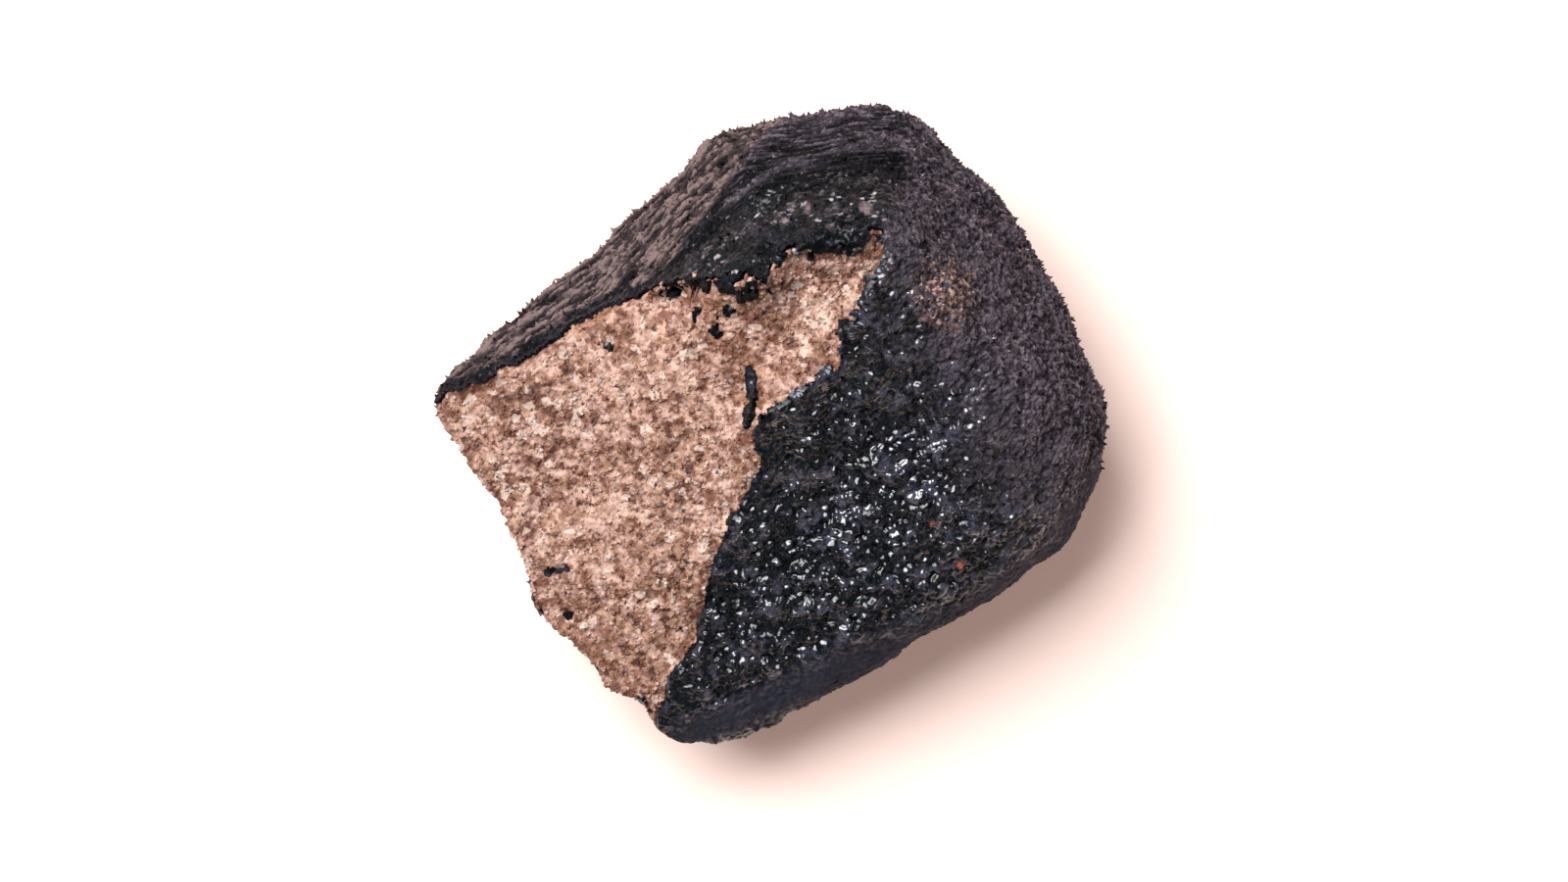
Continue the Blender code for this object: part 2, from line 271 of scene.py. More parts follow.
def new_mesh(name: str, points: np.ndarray, faces: list, traits: dict[str, np.ndarray]) -> Mesh:
    """Make a smooth mesh that holds these traits at its points."""
    mesh = bpy.data.meshes.new(name)
    mesh.from_pydata(points.tolist(), [], faces)
    mesh.polygons.foreach_set("use_smooth", np.ones(len(faces), bool))
    for trait, values in traits.items():
        kind, slot = ("FLOAT", "value") if values.ndim == 1 else ("FLOAT_VECTOR", "vector")
        mesh.attributes.new(trait, kind, "POINT").data.foreach_set(slot, values.astype(np.float32).ravel())
    return mesh


@dataclass
class Patch:
    """A stretch of skin: its points in metres, its four-sided faces and its traits."""

    points: np.ndarray
    quads: np.ndarray
    traits: dict[str, np.ndarray] = field(default_factory=dict)

    @classmethod
    def of_mesh(cls, mesh: Mesh) -> "Patch":
        """Read a mesh of four-sided faces, with the traits that it holds."""
        points = read(mesh.vertices, "co", np.float32, 3)
        corners = read(mesh.loops, "vertex_index", np.int32)
        traits = {
            trait.value: read(mesh.attributes[trait.value].data, "value", np.float32)
            for trait in Trait if trait.value in mesh.attributes}
        return cls(points.reshape(-1, 3).astype(float), corners.reshape(-1, 4), traits)

    def open_mesh(self, name: str) -> Mesh:
        """Make an open mesh of the patch, with its traits and outward directions."""
        return new_mesh(name, self.points, self.quads.tolist(), self.traits)

    def __getitem__(self, trait: Trait) -> np.ndarray:
        """The values of one trait."""
        return self.traits[trait.value]

    def __setitem__(self, trait: Trait, values: np.ndarray) -> None:
        """Set the values of one trait."""
        self.traits[trait.value] = np.asarray(values, float)

    def normals(self) -> np.ndarray:
        """The outward direction at each point."""
        corners = self.points[self.quads]
        across = np.cross(corners[:, 2] - corners[:, 0], corners[:, 3] - corners[:, 1])
        total = np.zeros_like(self.points)
        for corner in range(4):
            for axis in range(3):
                total[:, axis] += np.bincount(
                    self.quads[:, corner], across[:, axis], len(self.points))
        return total / np.maximum(np.linalg.norm(total, axis=1, keepdims=True), 1e-12)

    def evened(self, values: np.ndarray, rounds: int) -> np.ndarray:
        """Average values with their neighbours' along the skin."""
        starts = self.quads.ravel()
        ends = np.roll(self.quads, -1, axis=1).ravel()
        degree = np.bincount(starts, minlength=len(self.points)).astype(float)
        for _ in range(rounds):
            around = np.bincount(starts, values[ends], len(self.points))
            values = 0.5 * values + 0.5 * around / np.maximum(degree, 1.0)
        return values

    def rim(self) -> np.ndarray:
        """The directed edges along which the patch is open."""
        starts = self.quads.ravel().astype(np.int64)
        ends = np.roll(self.quads, -1, axis=1).ravel().astype(np.int64)
        count = len(self.points)
        lone = ~np.isin(ends * count + starts, starts * count + ends)
        return np.column_stack([starts[lone], ends[lone]])

    def part(self, chosen: np.ndarray) -> "Patch":
        """Cut out the chosen faces, grown by a few where they would touch only at a corner."""
        while True:
            quads = self.quads[chosen]
            pinched = np.bincount(Patch(self.points, quads).rim()[:, 0], minlength=len(self.points)) > 1
            if not pinched.any():
                break
            chosen = chosen | pinched[self.quads].any(axis=1)
        used = np.unique(quads)
        renumbered = np.full(len(self.points), -1, np.int32)
        renumbered[used] = np.arange(len(used))
        traits = {name: values[used] for name, values in self.traits.items()}
        return Patch(self.points[used], renumbered[quads], traits)

    def closed_mesh(self, name: str, thickness: float, core: tuple) -> Mesh:
        """Make a closed mesh of the patch.

        Args:
            name: The mesh's name.
            thickness: How far the broken-off edge shows, in mm.
            core: A point inside the stone to which the hidden inside tapers, in mm.

        Returns:
            The mesh, with the traits as attributes.
        """
        rim = self.rim()
        edge_points = np.unique(rim)
        inward = -self.normals()[edge_points]
        count = len(self.points)
        lower = np.full(count, -1, np.int64)
        lower[edge_points] = count + np.arange(len(edge_points))
        points = np.vstack([
            self.points,
            self.points[edge_points] + inward * thickness * MM,
            np.array([core]) * MM,
        ])
        middle = len(points) - 1
        a, b = rim[:, 0], rim[:, 1]
        wall = np.column_stack([b, a, lower[a], lower[b]])
        cone = np.column_stack([lower[b], lower[a], np.full(len(a), middle)])
        faces = self.quads.tolist() + wall.tolist() + cone.tolist()
        mesh = new_mesh(name, points, faces, {
            trait: np.concatenate([values, values[edge_points], [0.0]])
            for trait, values in self.traits.items()})
        hard = mesh.attributes.new("sharp_edge", "BOOLEAN", "EDGE")
        ends = read(mesh.edges, "vertices", np.int32, 2)
        ends = np.sort(ends.reshape(-1, 2), axis=1).astype(np.int64)
        keys = ends[:, 0] * len(points) + ends[:, 1]
        around = np.sort(rim, axis=1)
        hard.data.foreach_set("value", np.isin(keys, around[:, 0] * len(points) + around[:, 1]))
        mesh.update()
        return mesh


def nearest_on(places: np.ndarray, line: tuple) -> tuple[np.ndarray, np.ndarray]:
    """Find how far places are from a line seen from above.

    Args:
        places: The places, in mm.
        line: The corners of the line, in mm.

    Returns:
        The distance to the line, and how far along it the nearest point is.
    """
    best = np.full(len(places), np.inf)
    along = np.zeros(len(places))
    run = 0.0
    for start, end in zip(line, line[1:]):
        start, step = np.array(start), np.subtract(end, start)
        length = float(np.hypot(*step))
        share = np.clip((places - start) @ step / length ** 2, 0.0, 1.0)
        away = np.hypot(*(places - start - share[:, None] * step).T)
        nearer = away < best
        best = np.where(nearer, away, best)
        along = np.where(nearer, run + share * length, along)
        run += length
    return best, along


def inside(places: np.ndarray, line: tuple) -> np.ndarray:
    """Tell which places are inside a line whose ends are joined."""
    x, y = places.T
    within = np.zeros(len(places), bool)
    for (x0, y0), (x1, y1) in zip(line, line[1:] + line[:1]):
        crosses = (y0 > y) != (y1 > y)
        if y0 != y1:
            within ^= crosses & (x < (x1 - x0) * (y - y0) / (y1 - y0) + x0)
    return within


def new_object(name: str, data: bpy.types.ID) -> Object:
    """Put a new object into the scene."""
    thing = bpy.data.objects.new(name, data)
    bpy.context.scene.collection.objects.link(thing)
    return thing


def evaluated_mesh(holder: Object) -> Mesh:
    """Turn an object with its modifiers into a plain mesh, and remove the object."""
    depsgraph = bpy.context.evaluated_depsgraph_get()
    mesh = bpy.data.meshes.new_from_object(
        holder.evaluated_get(depsgraph), preserve_all_data_layers=True, depsgraph=depsgraph)
    bpy.data.objects.remove(holder)
    return mesh


def dust_streaks(g: Graph, fall: Value, run: Value) -> Value:
    """The streaks of the flank, long in the direction of its run."""
    broad = g.noise(g.point(fall * 2.8, run * 0.34), 1.0, 3.0)
    return 0.5 * broad + 0.5 * g.noise(g.point(fall * 3.6, run * 0.6, 9.0), 1.0, 2.0)


def flow_lines(g: Graph, flow: Value, run: Value) -> Value:
    """The thin lines in which the melt of the crown froze."""
    return g.noise(g.point(flow * 4.2, run * 0.3, 4.0), 1.0, 3.0)


class Recipe:
    """A Geometry Nodes tree with named inputs, which ends in Realize Instances and Set Material."""

    def __init__(self, name: str, sizes: dict[str, float | int]) -> None:
        """Start the tree.

        Args:
            name: The tree's name.
            sizes: Its named inputs and their usual values.
        """
        self.tree = bpy.data.node_groups.new(name, "GeometryNodeTree")
        face = self.tree.interface
        face.new_socket("Geometry", in_out="INPUT", socket_type="NodeSocketGeometry")
        for label, value in sizes.items():
            kind = "NodeSocketInt" if isinstance(value, int) else "NodeSocketFloat"
            socket = face.new_socket(label, in_out="INPUT", socket_type=kind)
            socket.default_value = value
        face.new_socket("Finish", in_out="INPUT", socket_type="NodeSocketMaterial")
        face.new_socket("Geometry", in_out="OUTPUT", socket_type="NodeSocketGeometry")
        self.graph = Graph(self.tree)
        self.entry = self.tree.nodes.new("NodeGroupInput")
        self.skin = self.input("Geometry")
        place = self.graph.node("GeometryNodeInputPosition")
        self.place = self.graph.vector("SCALE", place, scale=1.0 / MM)

    def input(self, label: str) -> Value:
        """One of the named inputs."""
        return Value(self.graph, self.entry.outputs[label])

    def __getitem__(self, trait: Trait) -> Value:
        """A trait of the skin."""
        return self.graph.node("GeometryNodeInputNamedAttribute", {"Name": trait.value}, "Attribute")

    def lift(self, skin: Value, height: Value) -> Value:
        """Move the skin outwards by a height in mm, along the directions of the whole stone."""
        out = self.graph.node(
            "GeometryNodeInputNamedAttribute", {"Name": OUTWARD}, "Attribute", data_type="FLOAT_VECTOR")
        offset = self.graph.vector("SCALE", out, scale=height * MM)
        return self.graph.node("GeometryNodeSetPosition", {"Geometry": skin, "Offset": offset})

    def keep(self, skin: Value, trait: Trait, value: Value) -> Value:
        """Hold a value at the skin's points as a trait."""
        return self.graph.node(
            "GeometryNodeStoreNamedAttribute", {"Geometry": skin, "Name": trait.value, "Value": value})

    def refined(self) -> Value:
        """The skin with its faces split as often as the input Detail says."""
        inputs = {"Mesh": self.skin, "Level": self.input("Detail")}
        return self.graph.node("GeometryNodeSubdivideMesh", inputs)

    def random(self, low: Any, high: Any, seed: int) -> Value:
        """A random number, or vector, for each point."""
        kind = "FLOAT" if isinstance(low, float) else "FLOAT_VECTOR"
        return self.graph.node(
            "FunctionNodeRandomValue", {"Min": low, "Max": high, "Seed": seed}, "Value", data_type=kind)

    def sow(self, thing: Value, share: Value, seed: int, turn: Value, size: Value, upright: bool) -> Value:
        """Set copies of a thing on random points of the skin.

        Args:
            thing: What is set.
            share: How densely, from 0 to 1, of the input Each Square.
            seed: The seed of the points.
            turn: The turn of each copy, in radians.
            size: The scale of each copy.
            upright: Whether a copy stands off the skin before it is turned.

        Returns:
            The copies.
        """
        g = self.graph
        density = share * self.input("Each Square") * (1.0 / MM ** 2)
        spots = g.node(
            "GeometryNodeDistributePointsOnFaces", {"Mesh": self.skin, "Density": density, "Seed": seed})
        rotation = g.node("FunctionNodeEulerToRotation", {"Euler": turn})
        if upright:
            standing = Value(g, spots.socket.node.outputs["Rotation"])
            rotation = g.node(
                "FunctionNodeRotateRotation", {"Rotation": standing, "Rotate By": rotation},
                rotation_space="LOCAL")
        return g.node("GeometryNodeInstanceOnPoints", {
            "Points": spots, "Instance": thing, "Rotation": rotation, "Scale": g.point(size, size, size)})

    def finish(self, skin: Value) -> None:
        """End the tree."""
        whole = self.graph.node("GeometryNodeRealizeInstances", {"Geometry": skin})
        dressed = self.graph.node(
            "GeometryNodeSetMaterial", {"Geometry": whole, "Material": self.input("Finish")})
        self.graph.end("NodeGroupOutput", "Geometry", dressed)

    def run(self, mesh: Mesh, finish: Material, **sizes: float) -> Mesh:
        """Put a mesh through the tree.

        Args:
            mesh: What goes in.
            finish: The material that is set.
            sizes: Values for named inputs, with _ for a space.

        Returns:
            The result as a plain mesh.
        """
        holder = new_object(self.tree.name, mesh)
        modifier = holder.modifiers.new(self.tree.name, "NODES")
        modifier.node_group = self.tree
        wanted = {label.replace("_", " "): value for label, value in sizes.items()} | {"Finish": finish}
        for item in self.tree.interface.items_tree:
            if item.in_out == "INPUT" and item.name in wanted:
                modifier[item.identifier] = wanted[item.name]
        return evaluated_mesh(holder)


class Paint:
    """A material, its node tree and its Principled shader."""

    def __init__(self, name: str) -> None:
        """Start the material."""
        self.material = bpy.data.materials.new(name)
        self.material.use_nodes = True
        self.material.node_tree.nodes.clear()
        self.graph = Graph(self.material.node_tree)
        surface = self.graph.node("ShaderNodeBsdfPrincipled")
        self.shader = surface.socket.node
        self.graph.end("ShaderNodeOutputMaterial", "Surface", surface)

    def place(self) -> Value:
        """The place on the stone, in mm."""
        at = self.graph.node("ShaderNodeTexCoord", output="Object")
        return self.graph.vector("SCALE", at, scale=1.0 / MM)

    def __getitem__(self, trait: Trait) -> Value:
        """A trait of the skin."""
        return self.graph.node("ShaderNodeAttribute", output="Fac", attribute_name=trait.value)

    def drive(self, label: str, value: Value) -> None:
        """Let a value drive one input of the shader."""
        self.graph.feed(self.shader.inputs[label], value)

    def hold(self, **constants: Any) -> None:
        """Set constant inputs of the shader, with _ for a space."""
        for label, value in constants.items():
            self.shader.inputs[label.replace("_", " ")].default_value = value

    def bump(self, height: Value, depth: float) -> None:
        """Roughen the surface by a height of 0 to 1 and a depth in mm."""
        sizes = {"Strength": 1.0, "Distance": depth * MM, "Height": height}
        self.drive("Normal", self.graph.node("ShaderNodeBump", sizes))


@dataclass(frozen=True)
class FusionCrust:
    """The black melted skin: glassy in front, matt and brownish on the shoulder, dusted brown on the flank;
    the shoulder and flank colours are partly a painted sheen, and the colour also holds painted glints and
    painted shade in the relief's hollows.
    """

    glass: tuple = (5, 9, 16)
    drop: tuple = (51, 50, 64)
    # The shoulder's greys: partly the crust's own colour, partly a painted sheen of grazing reflection.
    matt: tuple = (58, 53, 62)
    mauve: tuple = (91, 81, 90)
    deep: tuple = (4, 8, 12)
    # The rolled side's bluish dark grey: partly the smooth crust's own colour, partly a painted reflection
    # of a cool sky.
    rolled: tuple = (38, 43, 54)
    line_dark: tuple = (14, 14, 17)
    line_pale: tuple = (92, 85, 95)
    # Flank brown: dusted crust, and partly a painted sheen of grazing light.
    dust_and_sheen: tuple = (106, 90, 88)
    streak: tuple = (44, 39, 42)
    brown: tuple = (96, 70, 64)
    bare: tuple = (176, 146, 134)
    # Pale colour of the painted glints, marks in the base colour that stand in for highlights.
    glint: tuple = (146, 144, 150)
    rust: tuple = (170, 96, 76)
    rust_spots: tuple = ((11.6, -8.4, 0.4), (9.8, -5.9, 0.25))
    scab: tuple = (128, 110, 112)
    scab_spots: tuple = ((2.3, 12.8, 0.4), (5.8, 12.8, 0.55), (1.0, 12.1, 0.3), (3.6, 11.7, 0.3))
    # Multipliers for painted shade in the relief's hollows and painted light on its raised tops.
    painted_hollow_shade: tuple = (0.28, 0.28, 0.3, 1.0)
    raised: tuple = (1.12, 1.1, 1.1, 1.0)
    index: float = 1.14
    glaze_index: float = 1.8
    glaze_roughness: float = 0.18
    fine_bump: float = 0.1

    def make(self) -> Material:
        """Build the material."""
        paint = Paint("fusion_crust")
        g, at = paint.graph, paint.place()
        front, crown, flank = paint[Trait.FRONT], paint[Trait.CROWN], paint[Trait.FLANK]
        rolled, worn, lift = paint[Trait.ROLLED], paint[Trait.WORN], paint[Trait.LIFT]
        flow, run, deep = paint[Trait.FLOW], paint[Trait.RUN], paint[Trait.DEEP]
        sheltered, bared = paint[Trait.INNER], worn.rise(0.1, 0.5)
        broad = g.noise(at, 2.6, 2.0)
        middle = g.noise(at, 0.9, 2.0)
        fine = g.noise(at, 0.22, 2.0)
        grit = g.noise(at, 0.34, 2.0)
        across, down, height = g.axis(at, "X"), g.axis(at, "Y"), g.axis(at, "Z")
        # Mottled shoulder greys, lighter towards the right: partly the crust's own colour, partly a painted
        # sheen of grazing reflection.
        mottle_and_sheen = (0.4 * broad + grit + 0.3 * middle + 0.2 * across.rise(9.0, 17.0)).rise(0.6, 1.1)
        colour = g.mix(mottle_and_sheen, self.matt, self.mauve)
        drops = (0.6 * middle + 0.4 * g.noise(at, 1.8) + 0.3 * (grit - 0.5)).rise(0.48, 0.62)
        black = g.mix(drops, self.glass, self.drop)
        glassy = (front + (middle - 0.5) * 0.9 * front.rise(0.0, 0.4)).rise(0.1, 0.95)
        colour = g.mix(glassy, colour, black)
        # The sheltered inner crown goes deep black; the rolled side takes its bluish grey, partly a painted
        # reflection of a cool sky.
        colour = g.layered(
            colour,
            (sheltered * (0.95 - 0.15 * drops), self.deep),
            (rolled * (0.97 - 0.2 * mottle_and_sheen), self.rolled))
        lines = (flow_lines(g, flow, run) + 0.3 * (fine - 0.5)).rise(0.42, 0.62)
        colour = g.mix(crown, colour, g.mix(lines, self.line_dark, self.line_pale))
        colour = g.mix(deep, colour, g.mix(lines * 0.06, self.deep, self.line_pale))
        # Painted glints: small pale marks in the colour of the sheltered inner crown stand in for
        # highlights; they also get the glaze.
        drawn = g.point(flow * 4.2 + (middle - 0.5) * 2.0, run * 2.2 + (grit - 0.5) * 1.6, 2.0)
        pick = g.channel(g.cells(drawn, 1.0, "Color"), "Red")
        painted_glint_dots = g.cells(drawn, 1.0).rise(0.55, 0.2) * pick.rise(0.72, 0.92)
        painted_glint_dots = painted_glint_dots * broad.rise(0.42, 0.54) * sheltered
        haze = (middle + 0.4 * (grit - 0.5) + 0.16 * worn).rise(0.56, 0.68) * bared
        colour = g.layered(colour, (painted_glint_dots, self.glint), (haze * 0.7, self.brown))
        streaks = dust_streaks(g, paint[Trait.FALL], run)
        # The flank's streaky brown: dusted crust, partly also a painted sheen of grazing light, with darker
        # streaks between.
        dust_and_sheen_colour = g.mix(
            (streaks + 0.2 * (fine - 0.5) + 0.05 * (middle - 0.5)).rise(0.38, 0.55),
            self.streak, self.dust_and_sheen)
        dust_and_sheen_share = (flank * 1.5 - 0.25 + (streaks - 0.5) * 2.0 * flank.rise(0.0, 0.2)).rise(0.35, 0.65)
        colour = g.mix(dust_and_sheen_share, colour, dust_and_sheen_colour)
        specks = (g.noise(at, 0.3, 1.0) * 0.7 + 0.4 * fine + 0.16 * worn).rise(0.68, 0.76)
        colour = g.layered(colour, (specks * bared * 0.8, self.bare))
        above = height.rise(4.0, 6.0)
        for shade, share, spots in ((self.rust, 0.7, self.rust_spots), (self.scab, 0.6, self.scab_spots)):
            for x, y, radius in spots:
                away = g.aside(at, x, y) + (grit - 0.5) * 0.8
                colour = g.mix(away.rise(radius, radius * 0.2) * above * share, colour, shade)
        # Painted shade in the relief's hollows and painted light on its raised tops, multiplied into the
        # colour.
        dark = (lift + rolled * 0.16).rise(-0.05, 0.08)
        colour = g.mix(1.0, colour, g.mix(dark, self.painted_hollow_shade, self.raised), "MULTIPLY")
        paint.drive("Base Color", colour)

        rough = 0.66 - glassy * 0.3 + (fine - 0.5) * 0.16 + flank * 0.15
        paint.drive("Roughness", rough.at_least(0.25).at_most(0.95))
        paint.hold(IOR=self.index, Coat_IOR=self.glaze_index, Coat_Roughness=self.glaze_roughness)
        glaze = (grit + 0.35 * (middle - 0.5) + 0.28 * front - 0.02 * sheltered).rise(0.54, 0.76)
        glaze = glaze * (1.0 - rolled * 0.95) * (1.0 - flank) * (1.0 - crown * 0.6) * (0.6 + 0.22 * front)
        glaze = glaze * (0.78 + 0.22 * down.rise(-11.0, -5.0)) * (0.75 + 0.85 * drops)
        glaze = glaze * (1.0 - sheltered * 0.92) + painted_glint_dots * 0.7
        glaze = glaze * (0.3 + 0.7 * paint[Trait.EDGE].rise(-0.1, -0.6))
        paint.drive("Coat Weight", glaze)
        grain = (g.noise(at, 0.2, 1.0) * 1.2 + g.bead(at, 0.28)) * (1.0 - rolled * 0.7)
        paint.bump(grain * (1.0 - glassy * 0.3) * (1.0 - sheltered * 0.5), self.fine_bump)
        return paint.material


@dataclass(frozen=True)
class BrokenStone:
    """The pale, sugary inside of the stone with its brown grains."""

    cream: tuple = (188, 154, 139)
    pink: tuple = (146, 107, 93)
    tan: tuple = (112, 71, 52)
    brown: tuple = (62, 31, 20)
    dark: tuple = (46, 27, 22)
    rust: tuple = (104, 58, 38)
    white: tuple = (224, 204, 192)
    grey: tuple = (114, 78, 68)
    straw: tuple = (176, 138, 112)
    stain: float = 0.55
    bright_spot: tuple = (2.2, 6.0, 3.4)
    fine_bump: float = 0.06

    def make(self) -> Material:
        """Build the material."""
        paint = Paint("broken_stone")
        g = paint.graph
        at = g.shifted(paint.place(), 0.5, 0.15)
        grain = g.channel(g.cells(at, 0.4, "Color"), "Red")
        edge = paint[Trait.EDGE]
        x, y, radius = self.bright_spot
        bright = g.aside(at, x, y).rise(radius, 0.0)
        clump = g.noise(at, 0.95, 2.0)
        small = g.noise(at, 0.3, 2.0)
        broad = g.noise(at, 4.0, 2.0)
        tone = clump + (small - 0.5) * 0.5 + (grain - 0.5) * 0.2 + (broad - 0.5) * 0.4
        down = g.axis(at, "Y")
        # Paler in a round patch by the tongue, and darker towards the bottom of the face.
        tone = tone - bright * 0.07 + down.rise(-8.0, -14.0) * 0.07
        colour = g.mix(tone.rise(0.56, 0.3), self.pink, self.cream)
        kinds = g.cells(at, 0.55, "Color")
        kind, spark = g.channel(kinds, "Green"), g.channel(kinds, "Blue")
        spots = (g.noise(at, 0.5, 1.0) + (small - 0.5) * 0.4).rise(0.675, 0.755)
        stained = edge.rise(1.4, 0.1) * (broad * 0.4 + clump * 0.6).rise(0.44, 0.6)
        colour = g.layered(
            colour,
            (tone.rise(0.49, 0.61), self.tan),
            (tone.rise(0.62, 0.78), self.brown),
            (kind.rise(0.62, 0.8) * 0.4, self.grey),
            (kind.rise(0.32, 0.18) * 0.4, self.straw),
            (spark.rise(0.91, 0.95) * 0.45, self.white),
            (spots, self.dark),
            (bright * tone.rise(0.46, 0.32) * 0.4, self.white),
            (stained * self.stain, self.rust))
        paint.drive("Base Color", colour)
        paint.drive("Roughness", 0.5 + grain * 0.35)
        paint.bump(small + grain * 0.6, self.fine_bump)
        return paint.material


@dataclass(frozen=True)
class StudioFloor:
    """The white sweep under the stone, a little warm where it is in shade."""

    tint: tuple = (0.94, 0.76, 0.7, 1.0)
    glow: tuple = (1.0, 0.62, 0.47, 1.0)
    glow_strength: float = 0.24
    roughness: float = 0.9
    shine: float = 0.1

    def make(self) -> Material:
        """Build the material."""
        paint = Paint("studio_floor")
        paint.hold(
            Base_Color=self.tint, Roughness=self.roughness, Specular_IOR_Level=self.shine,
            Emission_Color=self.glow, Emission_Strength=self.glow_strength)
        return paint.material


@dataclass
class StoneSkin:
    """The whole skin of the stone as one fine, evenly faced patch with its traits."""

    voxel: float = 0.186
    voxel_quick: float = 0.22
    fairing: int = 15
    facing_rim: float = -0.25
    rim_reach: float = 2.2
    tooth: tuple = (7.2, 19.6)
    tooth_rise: float = 0.08
    tooth_drop: float = 0.05
    corners: tuple = (
        (-6.2, -19.2, 2.2, -0.25, -0.7), (-20.3, 2.4, 1.8, -0.45, 0.12), (7.2, 19.6, 1.6, 0.0, -0.3),
        (17.6, 8.6, 6.0, -0.6, -0.35), (-3.0, 17.6, 2.4, -0.2, 0.35),
        (9.0, 18.5, 1.2, 0.1, 0.5), (12.0, 16.0, 1.8, -0.4, -0.35), (19.9, 3.9, 1.6, -0.5, 0.0),
        (-9.6, -16.3, 1.8, -0.45, -0.3), (-17.0, -5.0, 1.8, 0.5, 0.1), (-10.2, 12.0, 3.6, 0.2, -0.3),
        (2.2, 19.2, 1.5, 0.0, -0.3),
    )
    rim_rounds: int = 4
    top_rounds: int = 7
    edge_reach: float = 6.0
    behind_flank: tuple = ((16.0, -30.0), (-20.9, -30.0))
    fall_share: float = 0.5
    side_span: tuple = (2.0, 6.0)
    dust_span: tuple = (0.8, -0.8)
    bare_edge: tuple = (0.35, 1.05)
    top_span: tuple = (0.25, 0.65)
    crest_span: tuple = (9.4, 7.4)
    crown_span: tuple = (5.6, 3.4)
    deep_start: tuple = (2.4, 4.4)
    deep_end: tuple = (8.0, 6.0)
    inner_span: tuple = (3.8, 5.6)
    front_span: tuple = (-11.0, 5.0)
    inner_front: float = 0.7
    rolled_span: tuple = (2.6, 0.3)
    worn_spot: tuple = (10.7, 7.9, 4.5)
    wild_spot: tuple = (0.6, 9.4, 26.0)
    ragged_reach: float = 2.4
    ragged_broad: float = 0.32
    ragged_fine: float = 0.2
    flecks: tuple = (
        (-1.2, 7.6, 0.75, 0.22, 35), (-2.4, 6.7, 0.8, 0.17, 35), (-3.2, 5.5, 0.42, 0.3, 150),
        (-4.4, 6.4, 0.5, 0.09, 80), (-5.7, 7.9, 0.35, 0.2, 20), (-1.1, 2.2, 1.2, 0.26, 97),
        (-1.2, 0.6, 0.8, 0.22, 80), (-9.7, 4.8, 0.36, 0.26, 0), (-13.1, -8.9, 0.8, 0.22, 10),
        (-10.6, -14.9, 0.6, 0.3, 130), (-7.7, -17.0, 0.6, 0.35, 130), (-12.2, -11.6, 0.25, 0.2, 0),
    )

    def build(self) -> Patch:
        """Make the skin from the solid of the stone."""
        holder = new_object("fine_stone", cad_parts[STONE].data.copy())
        weld = holder.modifiers.new("weld", "WELD")
        weld.merge_threshold = 1e-6
        remesh = holder.modifiers.new("voxels", "REMESH")
        remesh.mode = "VOXEL"
        remesh.voxel_size = self.voxel * MM
        fine = evaluated_mesh(holder)
        patch = Patch.of_mesh(self.fair(fine))
        self.mark(patch)
        self.raise_tooth(patch)
        self.draw_out(patch)
        return patch

    def raise_tooth(self, patch: Patch) -> None:
        """Bring out the sharp corner where the crown's crest ends at the top."""
        x, y, z = patch.points.T / MM
        tip, top = self.tooth
        gain = rise(x, 3.0, tip - 0.2) * rise(x, tip + 0.25, tip) * self.tooth_rise
        fall = rise(x, tip, tip + 0.25) * rise(x, tip + 3.5, tip + 1.0)
        gain -= self.tooth_drop * fall
        gain *= rise(y, top - 5.0, top - 2.5) * rise(z, 2.0, 4.0)
        patch.points += patch.traits[OUTWARD] * (gain * MM)[:, None]

    def draw_out(self, patch: Patch) -> None:
        """Draw the corners of the stone out, or in, to their places."""
        for x, y, reach, right, up in self.corners:
            away = np.hypot(patch.points[:, 0] / MM - x, patch.points[:, 1] / MM - y)
            share = bell(away, 0.0, reach) * MM
            patch.points[:, 0] += share * right
            patch.points[:, 1] += share * up

    def fair(self, mesh: Mesh) -> Mesh:
        """Smooth away the flat facets of the solid."""
        recipe = Recipe("fair_skin", {"Rounds": self.fairing})
        g = recipe.graph
        places = {"Value": g.node("GeometryNodeInputPosition"), "Iterations": recipe.input("Rounds")}
        smooth = g.node("GeometryNodeBlurAttribute", places, data_type="FLOAT_VECTOR")
        recipe.finish(g.node("GeometryNodeSetPosition", {"Geometry": recipe.skin, "Position": smooth}))
        return recipe.run(mesh, None)

    def mark(self, patch: Patch) -> None:
        """Work out the traits of the skin from where each point is."""
        place = patch.points / MM
        plan = place[:, :2]
        x, y, z = place.T
        patch.traits[OUTWARD] = patch.normals()
        up = patch.traits[OUTWARD][:, 2]

        # The edge of the broken face, and the islands of crust on it.
        ring, _ = nearest_on(plan, BREAK_EDGE + BREAK_EDGE[:1])
        ring = np.where(inside(plan, BREAK_EDGE), ring, -ring)
        ring += self.raggedness(place, ring)
        rim = (patch.evened(up, self.rim_rounds) - self.facing_rim) * self.rim_reach
        patch[Trait.LIP] = rise(rim - ring, 0.2, 1.0) * rise(up, 0.0, 0.2)
        edge = np.minimum(ring, rim)
        for fleck in self.flecks:
            edge = np.minimum(edge, self.fleck(place, *fleck))
        patch[Trait.EDGE] = np.clip(edge, -self.edge_reach, self.edge_reach)
        outside = -ring

        # The directions that the streaks and flow lines follow.
        flow, run = nearest_on(plan, FLANK_LINE)
        patch[Trait.FLOW], patch[Trait.RUN] = flow, run
        within = inside(plan, FLANK_LINE + self.behind_flank)
        patch[Trait.FALL] = (np.where(within, flow, -flow) + z) * self.fall_share

